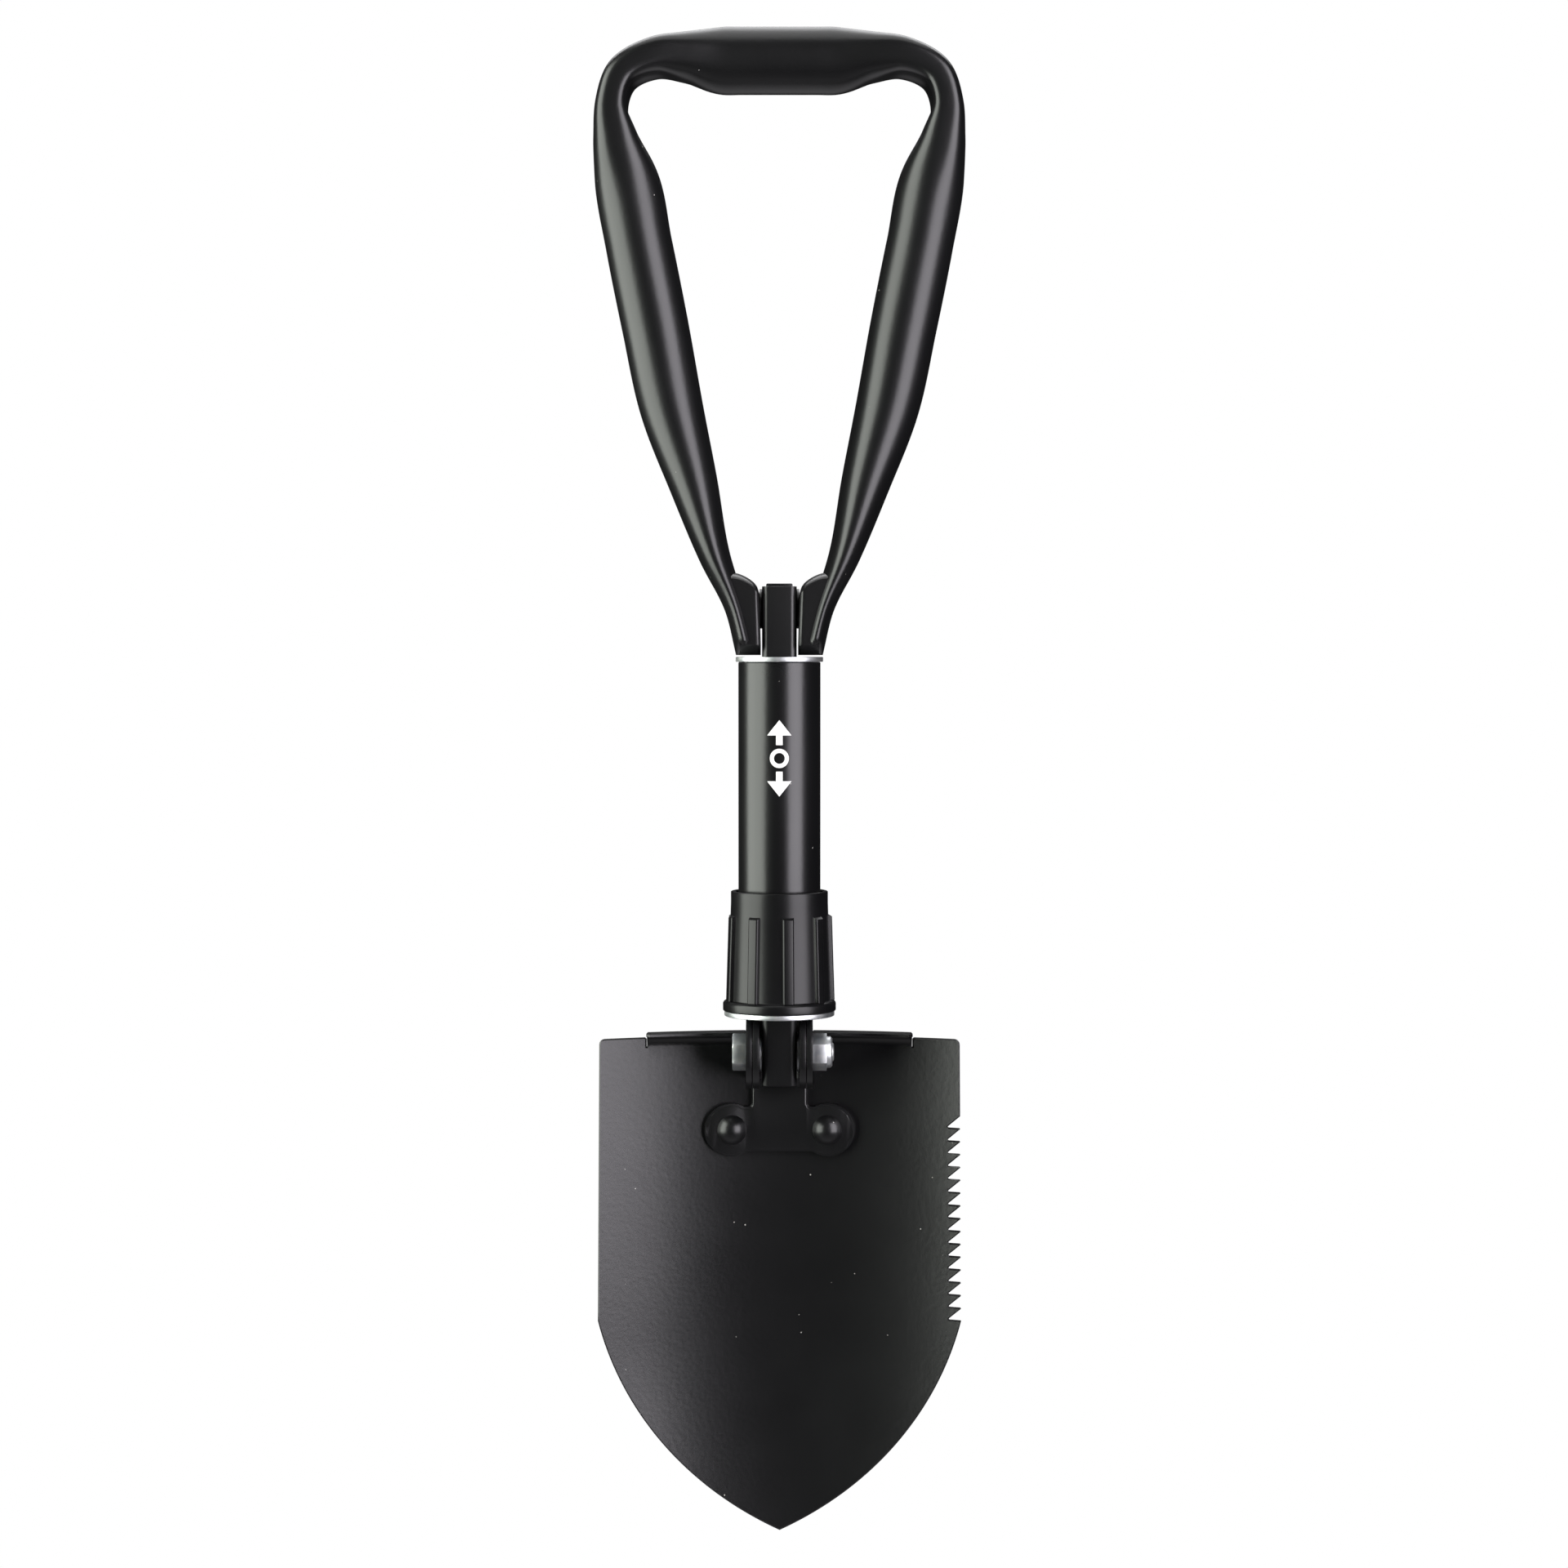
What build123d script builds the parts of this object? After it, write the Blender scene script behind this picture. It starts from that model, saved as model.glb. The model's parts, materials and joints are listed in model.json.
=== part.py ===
from build123d import *
from math import cos, degrees, pi, sqrt
import os

os.makedirs("parts", exist_ok=True)

# Folding camp shovel, open and upright. +Z runs up the shaft to the grip, the hollow
# face of the blade looks along -Y and the saw edge is at +X. The origin is on the
# shaft's axis, half way along the clear length of the sleeve. Sizes are in mm.

# Sleeve and its top washer
sleeve_od = 25.0
sleeve_wall = 1.5
clear_length = 69.8          # sleeve left bare between the collar and the top washer
thread_length = 23.7         # sleeve hidden in the collar
top_washer_lip = 0.8         # washer's edge, past the sleeve
washer_thickness = 1.5
key_clearance = 0.35         # each side, bar in the washers' rectangular holes

# Inner bar
bar_width = 10.5             # along X
bar_depth = 16.0             # along Y
bar_wall = 1.4
bar_corner = 2.0
bar_above_pin = 6.7
bar_below_pivot = 9.5

# Locking collar and its washer
collar_height = 36.5
collar_rim_wall = 2.3        # from the sleeve out to the collar's top edge
collar_taper = 0.95          # how much wider the collar is at its base
collar_flange_lip = 1.5
collar_flange_height = 3.2
collar_entry_gap = 0.8       # round the sleeve at the collar's mouth
collar_entry_depth = 3.5
rib_count = 9
rib_width = 3.4
rib_proud = 1.1
rib_top_gap = 6.8            # from the collar's top rim down to the ribs
rib_turn = 10.0              # first rib, degrees right of the front
collar_washer_inset = 0.45   # washer's edge, inside the flange's
thread_clearance = 0.1
face_clearance = 0.05

# Hinges: play left at both folding joints while the collar is slack
lock_gap = 0.55
running_clearance = 0.08
pin_r = 3.0
spacer_r = 6.0
spacer_thickness = 0.8

# Handle loop, a round tube bent in the XZ plane and pressed flat where it bends
handle_reach = 175.4         # pin axis to the top of the grip
handle_width = 113.4
grip_od = 20.2
loop_wall = 1.2
corner_press = 10.4          # tube's size in the loop's plane at the corners
corner_depth = 25.0          # and front to back
kink_height = 60.8           # bend in each leg, above the pin
kink_half_span = 32.7
neck_height = 16.0           # where the legs are nearly together
neck_spread = 6.5            # and how far out they are, past the tabs' ends
neck_press = 9.4
tab_span = 7.2               # through the tab's end, from the spacer's face outwards
tab_press = 3.9
tab_depth = 21.0
tab_nose_r = 14.5
tab_flat = 14.05             # pin axis to the flat that the top washer locks
ear_depth = 17.0             # plate inside the tab, front to back
ear_rise = 5.2               # its top edge above the pin, beside the bar
ear_crown = 11.8             # and inside the tube
ear_swing_gap = 0.15         # left to the top washer as the handle folds

# Blade, a sheet dished about an upright axis
blade_height = 155.2
blade_top_width = 111.6
blade_width = 112.8          # across the shoulders
shoulder_drop = 87.7         # from the blade's top edge to the shoulders
point_radius = 99.3
sheet = 1.5
dish_radius = 140.0
blade_offset = 23.5          # pivot axis back to the blade's hollow face
blade_above_pivot = 2.4
blade_corner = 1.6
tip_curl_drop = 94.0         # from the top edge to where the point curls forward
tip_curl_radius = 430.0
lip_half_width = 41.2
lip_depth = 7.5
lip_height = 2.1             # lip's top above the blade's top corners
lip_bend = 3.5
relief_width = 1.2

# Saw edge
tooth_count = 16
tooth_pitch = 4.0
tooth_depth = 3.9
saw_drop = 23.9              # from the blade's top edge to the first tooth

# Brackets and rivets
bracket_sheet = 2.0
rear_sheet = 1.8
ear_r = 11.3
ear_flat = 10.8
ear_side_gap = 0.25          # between the front and rear brackets' ears
notch_clearance = 0.15
notch_drop = 15.0            # from the blade's top edge
bracket_bend = 2.2
neck_lip = 0.5               # front plate's neck, past its ears
neck_drop = 19.8             # pivot axis down to the cross plate
plate_height = 14.0
lobe_r = 8.3
rivet_half_span = 15.1
rivet_drop = 27.0
rivet_r = 2.5
rivet_head_r = 4.7
rivet_head_height = 3.0
rivet_tail_height = 1.6

# Pivot bolt and nut, M6
hex_flats = 10.0
head_height = 4.2
nut_height = 6.0
nut_hex_height = 4.3
insert_r = 4.1
bolt_past_nut = 0.5

# Diameters that follow from the sleeve
sleeve_r = sleeve_od / 2
top_washer_r = sleeve_r + top_washer_lip
collar_rim_r = sleeve_r + collar_rim_wall
collar_base_r = collar_rim_r + collar_taper
collar_flange_r = collar_base_r + collar_flange_lip
collar_washer_r = collar_flange_r - collar_washer_inset

# Heights that follow from the stack along the shaft
rim_z = clear_length / 2
collar_top_z = -clear_length / 2
collar_base_z = collar_top_z - collar_height
collar_washer_z = collar_base_z - face_clearance - washer_thickness
pivot_z = collar_washer_z - lock_gap - ear_flat
top_washer_z = rim_z + washer_thickness
pin_z = top_washer_z + lock_gap + tab_flat
blade_top_z = pivot_z + blade_above_pivot

# Widths that follow from the stack along the pivot
ear_inner = bar_width / 2 + face_clearance + spacer_thickness
front_ear_outer = ear_inner + bracket_sheet
rear_ear_inner = front_ear_outer + ear_side_gap
rear_ear_outer = rear_ear_inner + rear_sheet
neck_half_width = front_ear_outer + neck_lip
tab_outer = ear_inner + tab_span
neck_half_span = tab_outer + neck_spread
dish_axis_y = blade_offset - dish_radius


def upright(radius, low, high):
    """A round bar along Z."""
    return Pos(0, 0, low) * Cylinder(radius, high - low, align=(Align.CENTER, Align.CENTER, Align.MIN))


def across(radius, start, end, height):
    """A round bar along X at the given height."""
    bar = Cylinder(radius, end - start, align=(Align.CENTER, Align.CENTER, Align.MIN))
    return Pos(start, 0, height) * Rot(0, 90, 0) * bar


def block(x0, x1, y0, y1, z0, z1):
    """A box from its corners."""
    return Pos((x0 + x1) / 2, (y0 + y1) / 2, (z0 + z1) / 2) * Box(x1 - x0, y1 - y0, z1 - z0)


def through_y(sketch):
    """A front outline (X, Z) carried right through the blade."""
    return extrude(Plane.XZ * sketch, amount=2 * dish_radius, both=True)


def shell(inner_r, outer_r, low, high):
    """Part of a tube about the dish's axis."""
    ring = upright(outer_r, low, high) - upright(inner_r, low, high)
    return Pos(0, dish_axis_y, 0) * ring & block(-60, 60, 0, 60, low, high)


def keyed_washer(radius, low):
    hole = Box(bar_width + 2 * key_clearance, bar_depth + 2 * key_clearance, 4 * washer_thickness)
    return upright(radius, low, low + washer_thickness) - Pos(0, 0, low) * hole


# Sleeve
sleeve_low = collar_top_z - thread_length
sleeve_tube = upright(sleeve_r, sleeve_low, rim_z)
sleeve_tube -= upright(sleeve_r - sleeve_wall, sleeve_low, rim_z)
sleeve_tube = chamfer(sleeve_tube.edges().group_by(Axis.Z)[0].sort_by(SortBy.LENGTH)[-1], 0.4)
top_washer = keyed_washer(top_washer_r, rim_z)

# Inner bar: a rectangular tube, bored across for the pin and the pivot bolt
bar_low = pivot_z - bar_below_pivot
bar_high = pin_z + bar_above_pin
bar_outline = RectangleRounded(bar_width, bar_depth, bar_corner)
bar_outline -= RectangleRounded(bar_width - 2 * bar_wall, bar_depth - 2 * bar_wall, bar_corner - bar_wall)
inner_bar = Pos(0, 0, bar_low) * extrude(bar_outline, amount=bar_high - bar_low)
inner_bar -= across(pin_r, -bar_width, bar_width, pin_z)
inner_bar -= across(pin_r + running_clearance, -bar_width, bar_width, pivot_z)

# Locking collar, threaded on the sleeve
flange_top_z = collar_base_z + collar_flange_height
collar_profile = Polyline(
    (0, collar_base_z),
    (collar_flange_r, collar_base_z),
    (collar_flange_r, flange_top_z - 0.6),
    (collar_flange_r - 0.6, flange_top_z),
    (collar_base_r, flange_top_z),
    (collar_rim_r, collar_top_z - collar_entry_depth),
    (collar_rim_r, collar_top_z),
    (0, collar_top_z),
    (0, collar_base_z),
)
locking_collar = revolve(Plane.XZ * make_face(collar_profile), Axis.Z)
rib_high = collar_top_z - rib_top_gap
rib_profile = Polyline(
    (collar_rim_r - 1, flange_top_z - 0.2),
    (collar_base_r + rib_proud, flange_top_z - 0.2),
    (collar_rim_r + rib_proud + 0.2, rib_high - rib_proud),
    (collar_rim_r + 0.2, rib_high),
    (collar_rim_r - 1, rib_high),
    (collar_rim_r - 1, flange_top_z - 0.2),
)
rib = extrude(Plane.XZ * make_face(rib_profile), amount=rib_width / 2, both=True)
for i in range(rib_count):
    locking_collar += Rot(0, 0, -90 + rib_turn + i * 360 / rib_count) * rib
locking_collar -= upright(sleeve_r + thread_clearance, collar_base_z, collar_top_z)
locking_collar -= upright(sleeve_r + collar_entry_gap, collar_top_z - collar_entry_depth, collar_top_z)
collar_washer = keyed_washer(collar_washer_r, collar_washer_z)

# Handle loop. Each station is (x, height above the pin, size in the plane, size front to back).
half_width = handle_width / 2
grip_height = handle_reach - grip_od / 2
leg_x = half_width - 14.2
leg_height = grip_height - 55.3
stations = [
    (half_width - 45, grip_height, grip_od, grip_od),
    (half_width - 40, grip_height, grip_od, grip_od),
    (half_width - 29, grip_height + 0.9, corner_press + 4.8, corner_depth - 2.6),
    (half_width - 19, grip_height + 0.6, corner_press + 1.2, corner_depth - 0.4),
    (half_width - 9.4, grip_height - 4.6, corner_press - 0.2, corner_depth),
    (half_width - 6.4, grip_height - 13.5, corner_press, corner_depth),
    (half_width - 7.5, grip_height - 23, corner_press + 3.8, corner_depth - 2),
    (half_width - 10.3, grip_height - 35, grip_od - 1, grip_od + 0.6),
    (leg_x, leg_height, grip_od, grip_od),
    ((leg_x + kink_half_span) / 2, (leg_height + kink_height) / 2, grip_od, grip_od),
    (kink_half_span, kink_height, grip_od - 1, grip_od + 0.8),
    ((kink_half_span + neck_half_span) / 2, (kink_height + neck_height) / 2, 15.0, 22.0),
    (neck_half_span, neck_height, neck_press, tab_depth + 0.6),
    (tab_outer + 0.6, 0, 5.4, tab_depth),
    (tab_outer - tab_press / 2, -tab_nose_r, tab_press, tab_depth),
]
centres = [Vector(x, 0, pin_z + z) for x, z, _, _ in stations]
spine = Spline(*centres, tangents=[(1, 0, 0), (0, 0, -1)])
cuts = [Plane(origin=c, x_dir=(0, 1, 0), z_dir=spine.tangent_at(spine.param_at_point(c))) for c in centres]


def leg(inset, overrun):
    """One side of the loop, sunk by the inset, its ends carried past by the overrun."""
    rings = [cut * Ellipse(depth / 2 - inset, press / 2 - inset)
             for cut, (_, _, press, depth) in zip(cuts, stations)]
    if overrun:
        rings = [Pos(-overrun, 0, 0) * rings[0], *rings, Pos(0, 0, -overrun) * rings[-1]]
    return loft(rings)


ear_profile = Polyline(
    (ear_inner, -tab_nose_r),
    (ear_inner, ear_rise),
    (ear_inner + 3.2, 0.4 * ear_rise + 0.6 * ear_crown - 0.1),
    (ear_inner + tab_span + 0.4, ear_crown),
    (ear_inner + tab_span + 2.8, ear_rise + 2.8),
    (tab_outer - tab_press / 2, -tab_nose_r),
    (ear_inner, -tab_nose_r),
)
ear = Pos(0, 0, pin_z) * extrude(Plane.XZ * make_face(ear_profile), amount=ear_depth / 2, both=True)
ear &= across(tab_flat - ear_swing_gap, 0, 40, pin_z) + block(0, 40, -20, 20, pin_z - 20, pin_z)
tab_room = block(0, 40, -20, 20, pin_z - 2 * tab_nose_r, pin_z) - across(tab_nose_r, 0, 40, pin_z)
tab_room += block(0, 40, -20, 20, pin_z - 2 * tab_nose_r, pin_z - tab_flat)
right_leg = leg(0, 0) - leg(loop_wall, 1) - tab_room + (ear - tab_room)
right_leg -= across(pin_r + running_clearance, 0, 40, pin_z)
grip_tube = Cylinder(grip_od / 2, 2 * centres[0].X) - Cylinder(grip_od / 2 - loop_wall, 2 * centres[0].X)
handle_loop = Pos(0, 0, centres[0].Z) * Rot(0, 90, 0) * grip_tube + right_leg
handle_loop += mirror(right_leg, Plane.YZ)

# Handle pin, flush in both tabs, and the spacers beside the bar
pin_half = tab_outer + 2.4
handle_pin = across(pin_r, -pin_half, pin_half, pin_z)
handle_pin = chamfer(handle_pin.edges().filter_by(GeomType.CIRCLE), 0.5)
spacer_inner = bar_width / 2
handle_spacer_right = across(spacer_r, spacer_inner, spacer_inner + spacer_thickness, pin_z)
handle_spacer_right -= across(pin_r, 0, 40, pin_z)
handle_spacer_left = mirror(handle_spacer_right, Plane.YZ)

# Blade: the dished sheet and its turned top lip, cut to the front outlines
blade_low_z = blade_top_z - blade_height
shoulder_z = blade_top_z - shoulder_drop
curl_z = blade_top_z - tip_curl_drop
curl_low_z = blade_low_z - 4
lip_top_z = blade_top_z + lip_height
bend_z = lip_top_z - sheet - lip_bend
curl_shift = tip_curl_radius - sqrt(tip_curl_radius**2 - (curl_z - curl_low_z) ** 2)


def spun(edges):
    """A closed outline in the YZ plane spun about the dish's axis, either side of the middle."""
    face = Plane.YZ * make_face(edges)
    spin = Axis((0, dish_axis_y, 0), (0, 0, 1))
    return revolve(face, spin, revolution_arc=60).rotate(spin, -30)


face_y = blade_offset
back_y = blade_offset + sheet
sheet_body = spun([
    Line((face_y, blade_top_z), (face_y, curl_z)),
    RadiusArc((face_y, curl_z), (face_y - curl_shift, curl_low_z), tip_curl_radius),
    Line((face_y - curl_shift, curl_low_z), (back_y - curl_shift, curl_low_z)),
    RadiusArc((back_y - curl_shift, curl_low_z), (back_y, curl_z), -tip_curl_radius),
    Line((back_y, curl_z), (back_y, blade_top_z)),
    Line((back_y, blade_top_z), (face_y, blade_top_z)),
])
lip_body = spun([
    Line((back_y, bend_z), (face_y, bend_z)),
    RadiusArc((face_y, bend_z), (face_y - lip_bend, bend_z + lip_bend), -lip_bend),
    Line((face_y - lip_bend, bend_z + lip_bend), (face_y - lip_depth, bend_z + lip_bend)),
    Line((face_y - lip_depth, bend_z + lip_bend), (face_y - lip_depth, lip_top_z)),
    Line((face_y - lip_depth, lip_top_z), (face_y - lip_bend, lip_top_z)),
    RadiusArc((face_y - lip_bend, lip_top_z), (back_y, bend_z), lip_bend + sheet),
])

half_top = blade_top_width / 2
half_shoulder = blade_width / 2
outline = make_face([
    Polyline(
        (-half_shoulder, shoulder_z),
        (-half_top, blade_top_z),
        (half_top, blade_top_z),
        (half_shoulder, shoulder_z),
    ),
    RadiusArc((half_shoulder, shoulder_z), (0, blade_low_z), point_radius),
    RadiusArc((0, blade_low_z), (-half_shoulder, shoulder_z), point_radius),
])
outline = fillet(outline.vertices().group_by(Axis.Y)[-1], blade_corner)
relief_half = lip_half_width + relief_width
outline -= Pos(0, blade_top_z) * Rectangle(2 * relief_half, 2 * (blade_top_z - bend_z))
notch_half = rear_ear_outer + notch_clearance
notch = Pos(0, blade_top_z) * Rectangle(2 * notch_half, 2 * notch_drop)
outline -= notch
edge_slope = (half_shoulder - half_top) / shoulder_drop
for i in range(tooth_count):
    drop = saw_drop + i * tooth_pitch
    edge_x = half_top + edge_slope * drop
    tip = (edge_x + 0.5, blade_top_z - drop + 0.5)
    root = (edge_x - tooth_depth, blade_top_z - drop - tooth_pitch + 0.25)
    outer = (edge_x + 0.5, blade_top_z - drop - tooth_pitch + 0.25)
    outline -= make_face(Polyline(tip, root, outer, tip))
lip_outline = Pos(0, bend_z) * Trapezoid(
    2 * lip_half_width, lip_top_z - bend_z, 80, align=(Align.CENTER, Align.MIN))
lip_outline -= notch
blade = (sheet_body & through_y(outline)) + (lip_body & through_y(lip_outline))

# Brackets: channels pressed to the blade, their ears reaching forward round the pivot
plate_low_z = pivot_z - neck_drop - plate_height
plate_outline = Pos(0, plate_low_z) * Rectangle(
    2 * rivet_half_span, plate_height, align=(Align.CENTER, Align.MIN))
for side in (-1, 1):
    plate_outline += Pos(side * rivet_half_span, pivot_z - rivet_drop) * Circle(lobe_r)


def neck_outline(half_width, high):
    return Pos(0, plate_low_z) * Rectangle(
        2 * half_width, high - plate_low_z, align=(Align.CENTER, Align.MIN))


ear_nose = across(ear_r, -20, 20, pivot_z)
ear_nose += block(-20, 20, 0, 40, pivot_z - ear_flat, pivot_z + ear_flat)
ear_nose &= block(-20, 20, -ear_flat, 40, pivot_z - ear_flat, pivot_z + ear_flat)


def channel(outer, thickness, back):
    """A U channel open to the front, its web's back face at the given depth."""
    walls = Pos(0, back - 50) * Rectangle(2 * outer, 100)
    walls = fillet(walls.vertices().group_by(Axis.Y)[-1], bracket_bend + thickness)
    hollow = Pos(0, back - thickness - 50) * Rectangle(2 * (outer - thickness), 100)
    walls -= fillet(hollow.vertices().group_by(Axis.Y)[-1], bracket_bend)
    return Pos(0, 0, pivot_z - 20) * extrude(walls, amount=40)


front_bracket = shell(dish_radius - bracket_sheet, dish_radius, plate_low_z - 3, pivot_z)
front_bracket &= through_y(
    plate_outline
    + neck_outline(neck_half_width, pivot_z - ear_r)
    + neck_outline(front_ear_outer, pivot_z - ear_flat + 1))
front_bracket += channel(front_ear_outer, bracket_sheet, blade_offset) & ear_nose
front_bracket &= Pos(0, dish_axis_y, 0) * upright(dish_radius, plate_low_z - 5, pivot_z + 20)

rear_r = dish_radius + sheet
rear_bracket = shell(rear_r, rear_r + rear_sheet, plate_low_z - 3, pivot_z)
rear_bracket &= through_y(plate_outline + neck_outline(rear_ear_outer, pivot_z - ear_flat + 1))
rear_bracket += channel(rear_ear_outer, rear_sheet, blade_offset + sheet + rear_sheet) & ear_nose

# Rivets stand square to the dished sheet
rivets = []
for side in (-1, 1):
    shank_low = dish_radius - bracket_sheet
    shank_high = rear_r + rear_sheet
    dome_r = (rivet_head_r**2 + rivet_head_height**2) / (2 * rivet_head_height)
    head = Pos(0, 0, dome_r - rivet_head_height) * Sphere(dome_r)
    head &= Pos(0, 0, -rivet_head_height) * Cylinder(
        rivet_head_r + 1, rivet_head_height, align=(Align.CENTER, Align.CENTER, Align.MIN))
    shank = Cylinder(rivet_r, shank_high - shank_low, align=(Align.CENTER, Align.CENTER, Align.MIN))
    tail = Pos(0, 0, shank_high - shank_low) * Cylinder(
        rivet_head_r - 0.5, rivet_tail_height, align=(Align.CENTER, Align.CENTER, Align.MIN))
    turn = degrees(rivet_half_span / dish_radius)
    place = Pos(0, dish_axis_y, pivot_z - rivet_drop) * Rot(0, 0, -side * turn) * Rot(-90, 0, 0)
    place *= Pos(0, 0, shank_low)
    hole = place * Pos(0, 0, -4) * Cylinder(rivet_r, 14, align=(Align.CENTER, Align.CENTER, Align.MIN))
    front_bracket -= hole
    rear_bracket -= hole
    blade -= hole
    seat = place * Pos(0, 0, -rivet_head_height - 2) * Cylinder(
        rivet_head_r + 0.6, rivet_head_height + 2, align=(Align.CENTER, Align.CENTER, Align.MIN))
    front_bracket -= seat
    rivets.append(place * (head + shank + tail))
blade_rivet_left, blade_rivet_right = rivets

# Pivot bolt, its lock nut and the washers between the bar and the ears
hex_r = hex_flats / 2 / cos(pi / 6)
hex_sketch = RegularPolygon(hex_r, 6)


def hex_across(start, length):
    return Pos(start, 0, pivot_z) * Rot(0, 90, 0) * extrude(hex_sketch, amount=length)


front_bracket -= across(pin_r, -40, 40, pivot_z)
rear_bracket -= across(pin_r, -40, 40, pivot_z)
nut_end = rear_ear_outer + nut_height
pivot_bolt = across(pin_r, -rear_ear_outer, nut_end + bolt_past_nut, pivot_z)
pivot_bolt = chamfer(pivot_bolt.edges().group_by(Axis.X)[-1], 0.5)
bolt_head = hex_across(-rear_ear_outer - head_height, head_height)
bolt_head &= Pos(-rear_ear_outer - head_height, 0, pivot_z) * Rot(0, 90, 0) * Pos(0, 0, -0.2) * Cone(
    hex_flats / 2 - 0.1, hex_flats / 2 + 2 * head_height, head_height + 0.2,
    align=(Align.CENTER, Align.CENTER, Align.MIN))
pivot_bolt += bolt_head
pivot_nut = hex_across(rear_ear_outer, nut_hex_height)
pivot_nut += across(hex_flats / 2 - 0.2, rear_ear_outer, nut_end, pivot_z)
pivot_nut = chamfer(pivot_nut.edges().filter_by(GeomType.CIRCLE).group_by(Axis.X)[-1], 0.6)
pivot_nut -= across(pin_r, 0, 40, pivot_z)
insert_start = rear_ear_outer + nut_hex_height
pivot_nut -= across(insert_r, insert_start, nut_end, pivot_z)
nut_insert = across(insert_r, insert_start, nut_end - 0.3, pivot_z) - across(pin_r, 0, 40, pivot_z)
pivot_washer_right = across(spacer_r, ear_inner - spacer_thickness, ear_inner, pivot_z)
pivot_washer_right -= across(pin_r, 0, 40, pivot_z)
pivot_washer_left = mirror(pivot_washer_right, Plane.YZ)

for node, shape in {
    "sleeve_tube": sleeve_tube,
    "top_washer": top_washer,
    "inner_bar": inner_bar,
    "locking_collar": locking_collar,
    "collar_washer": collar_washer,
    "handle_loop": handle_loop,
    "handle_pin": handle_pin,
    "handle_spacer_left": handle_spacer_left,
    "handle_spacer_right": handle_spacer_right,
    "blade": blade,
    "front_bracket": front_bracket,
    "rear_bracket": rear_bracket,
    "blade_rivet_left": blade_rivet_left,
    "blade_rivet_right": blade_rivet_right,
    "pivot_bolt": pivot_bolt,
    "pivot_nut": pivot_nut,
    "nut_insert": nut_insert,
    "pivot_washer_left": pivot_washer_left,
    "pivot_washer_right": pivot_washer_right,
}.items():
    export_step(shape, f"parts/{node}.step")
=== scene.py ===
import json
from math import asin, atan2, cos, exp, hypot, pi, radians, sin, sqrt

import bmesh
import bpy
from mathutils import Matrix, Vector


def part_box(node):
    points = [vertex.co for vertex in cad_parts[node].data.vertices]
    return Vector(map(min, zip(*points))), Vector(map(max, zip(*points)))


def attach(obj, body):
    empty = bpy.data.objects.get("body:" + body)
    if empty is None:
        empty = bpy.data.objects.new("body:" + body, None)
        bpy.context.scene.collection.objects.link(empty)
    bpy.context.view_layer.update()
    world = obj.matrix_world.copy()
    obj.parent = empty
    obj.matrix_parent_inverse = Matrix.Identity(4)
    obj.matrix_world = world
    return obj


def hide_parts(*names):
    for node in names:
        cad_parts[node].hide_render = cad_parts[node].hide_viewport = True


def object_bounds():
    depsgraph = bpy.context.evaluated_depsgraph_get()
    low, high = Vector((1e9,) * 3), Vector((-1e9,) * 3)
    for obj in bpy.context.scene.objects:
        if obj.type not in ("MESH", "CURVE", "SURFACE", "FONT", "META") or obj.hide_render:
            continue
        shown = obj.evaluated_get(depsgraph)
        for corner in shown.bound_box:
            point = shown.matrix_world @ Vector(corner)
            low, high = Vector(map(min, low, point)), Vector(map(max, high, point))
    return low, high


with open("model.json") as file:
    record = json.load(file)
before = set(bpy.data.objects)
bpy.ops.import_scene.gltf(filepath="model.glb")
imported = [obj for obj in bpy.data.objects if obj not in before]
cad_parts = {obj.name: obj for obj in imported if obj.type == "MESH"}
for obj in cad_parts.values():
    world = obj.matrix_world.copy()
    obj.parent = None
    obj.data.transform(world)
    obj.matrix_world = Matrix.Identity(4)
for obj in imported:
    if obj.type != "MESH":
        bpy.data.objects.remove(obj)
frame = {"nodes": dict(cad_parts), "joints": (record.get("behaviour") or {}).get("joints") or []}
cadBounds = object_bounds()

mm = 0.001
weld = 0.0005 * mm  # vertices closer than this become one
joints = {joint["name"]: joint for joint in frame["joints"]}
pivotZ = joints["blade_fold"]["pos_m"][2]
pinZ = joints["handle_fold"]["pos_m"][2]


# Colours, nodes and materials

def hexColour(code):  # sRGB hex to the linear values a shader takes
    parts = [int(code[i:i + 2], 16) / 255 for i in (0, 2, 4)]
    return [p / 12.92 if p <= 0.04045 else ((p + 0.055) / 1.055) ** 2.4 for p in parts] + [1.0]


def addNode(tree, kind, settings=None, links=None):  # a node, its values and what feeds it
    node = tree.nodes.new(kind)
    for name, value in (settings or {}).items():
        if isinstance(name, int) or name in node.inputs:
            node.inputs[name].default_value = value
        else:
            setattr(node, name, value)
    for name, source in (links or {}).items():
        tree.links.new(source, node.inputs[name])
    return node


def newMaterial(name):
    material = bpy.data.materials.new(name)
    material.use_nodes = True
    material.node_tree.nodes.clear()
    return material, material.node_tree


def finishMaterial(tree, shader):
    addNode(tree, "ShaderNodeOutputMaterial", links={"Surface": shader.outputs[0]})


coatLook = {
    "cloudSize": 28 * mm,      # slow change of shade and gloss
    "peelSize": 1.5 * mm,      # orange peel, crest to crest
    "grainSize": 0.32 * mm,    # powder grain under it
    "grainShare": 0.22,        # height of the grain beside the peel's
    "dustSpacing": 3.4 * mm,   # one cell holds at most one speck
    "speckSizes": (0.03, 0.07),  # smallest and largest radius of a speck, in cells
    "dustColour": "a9a7a2",
}


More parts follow.
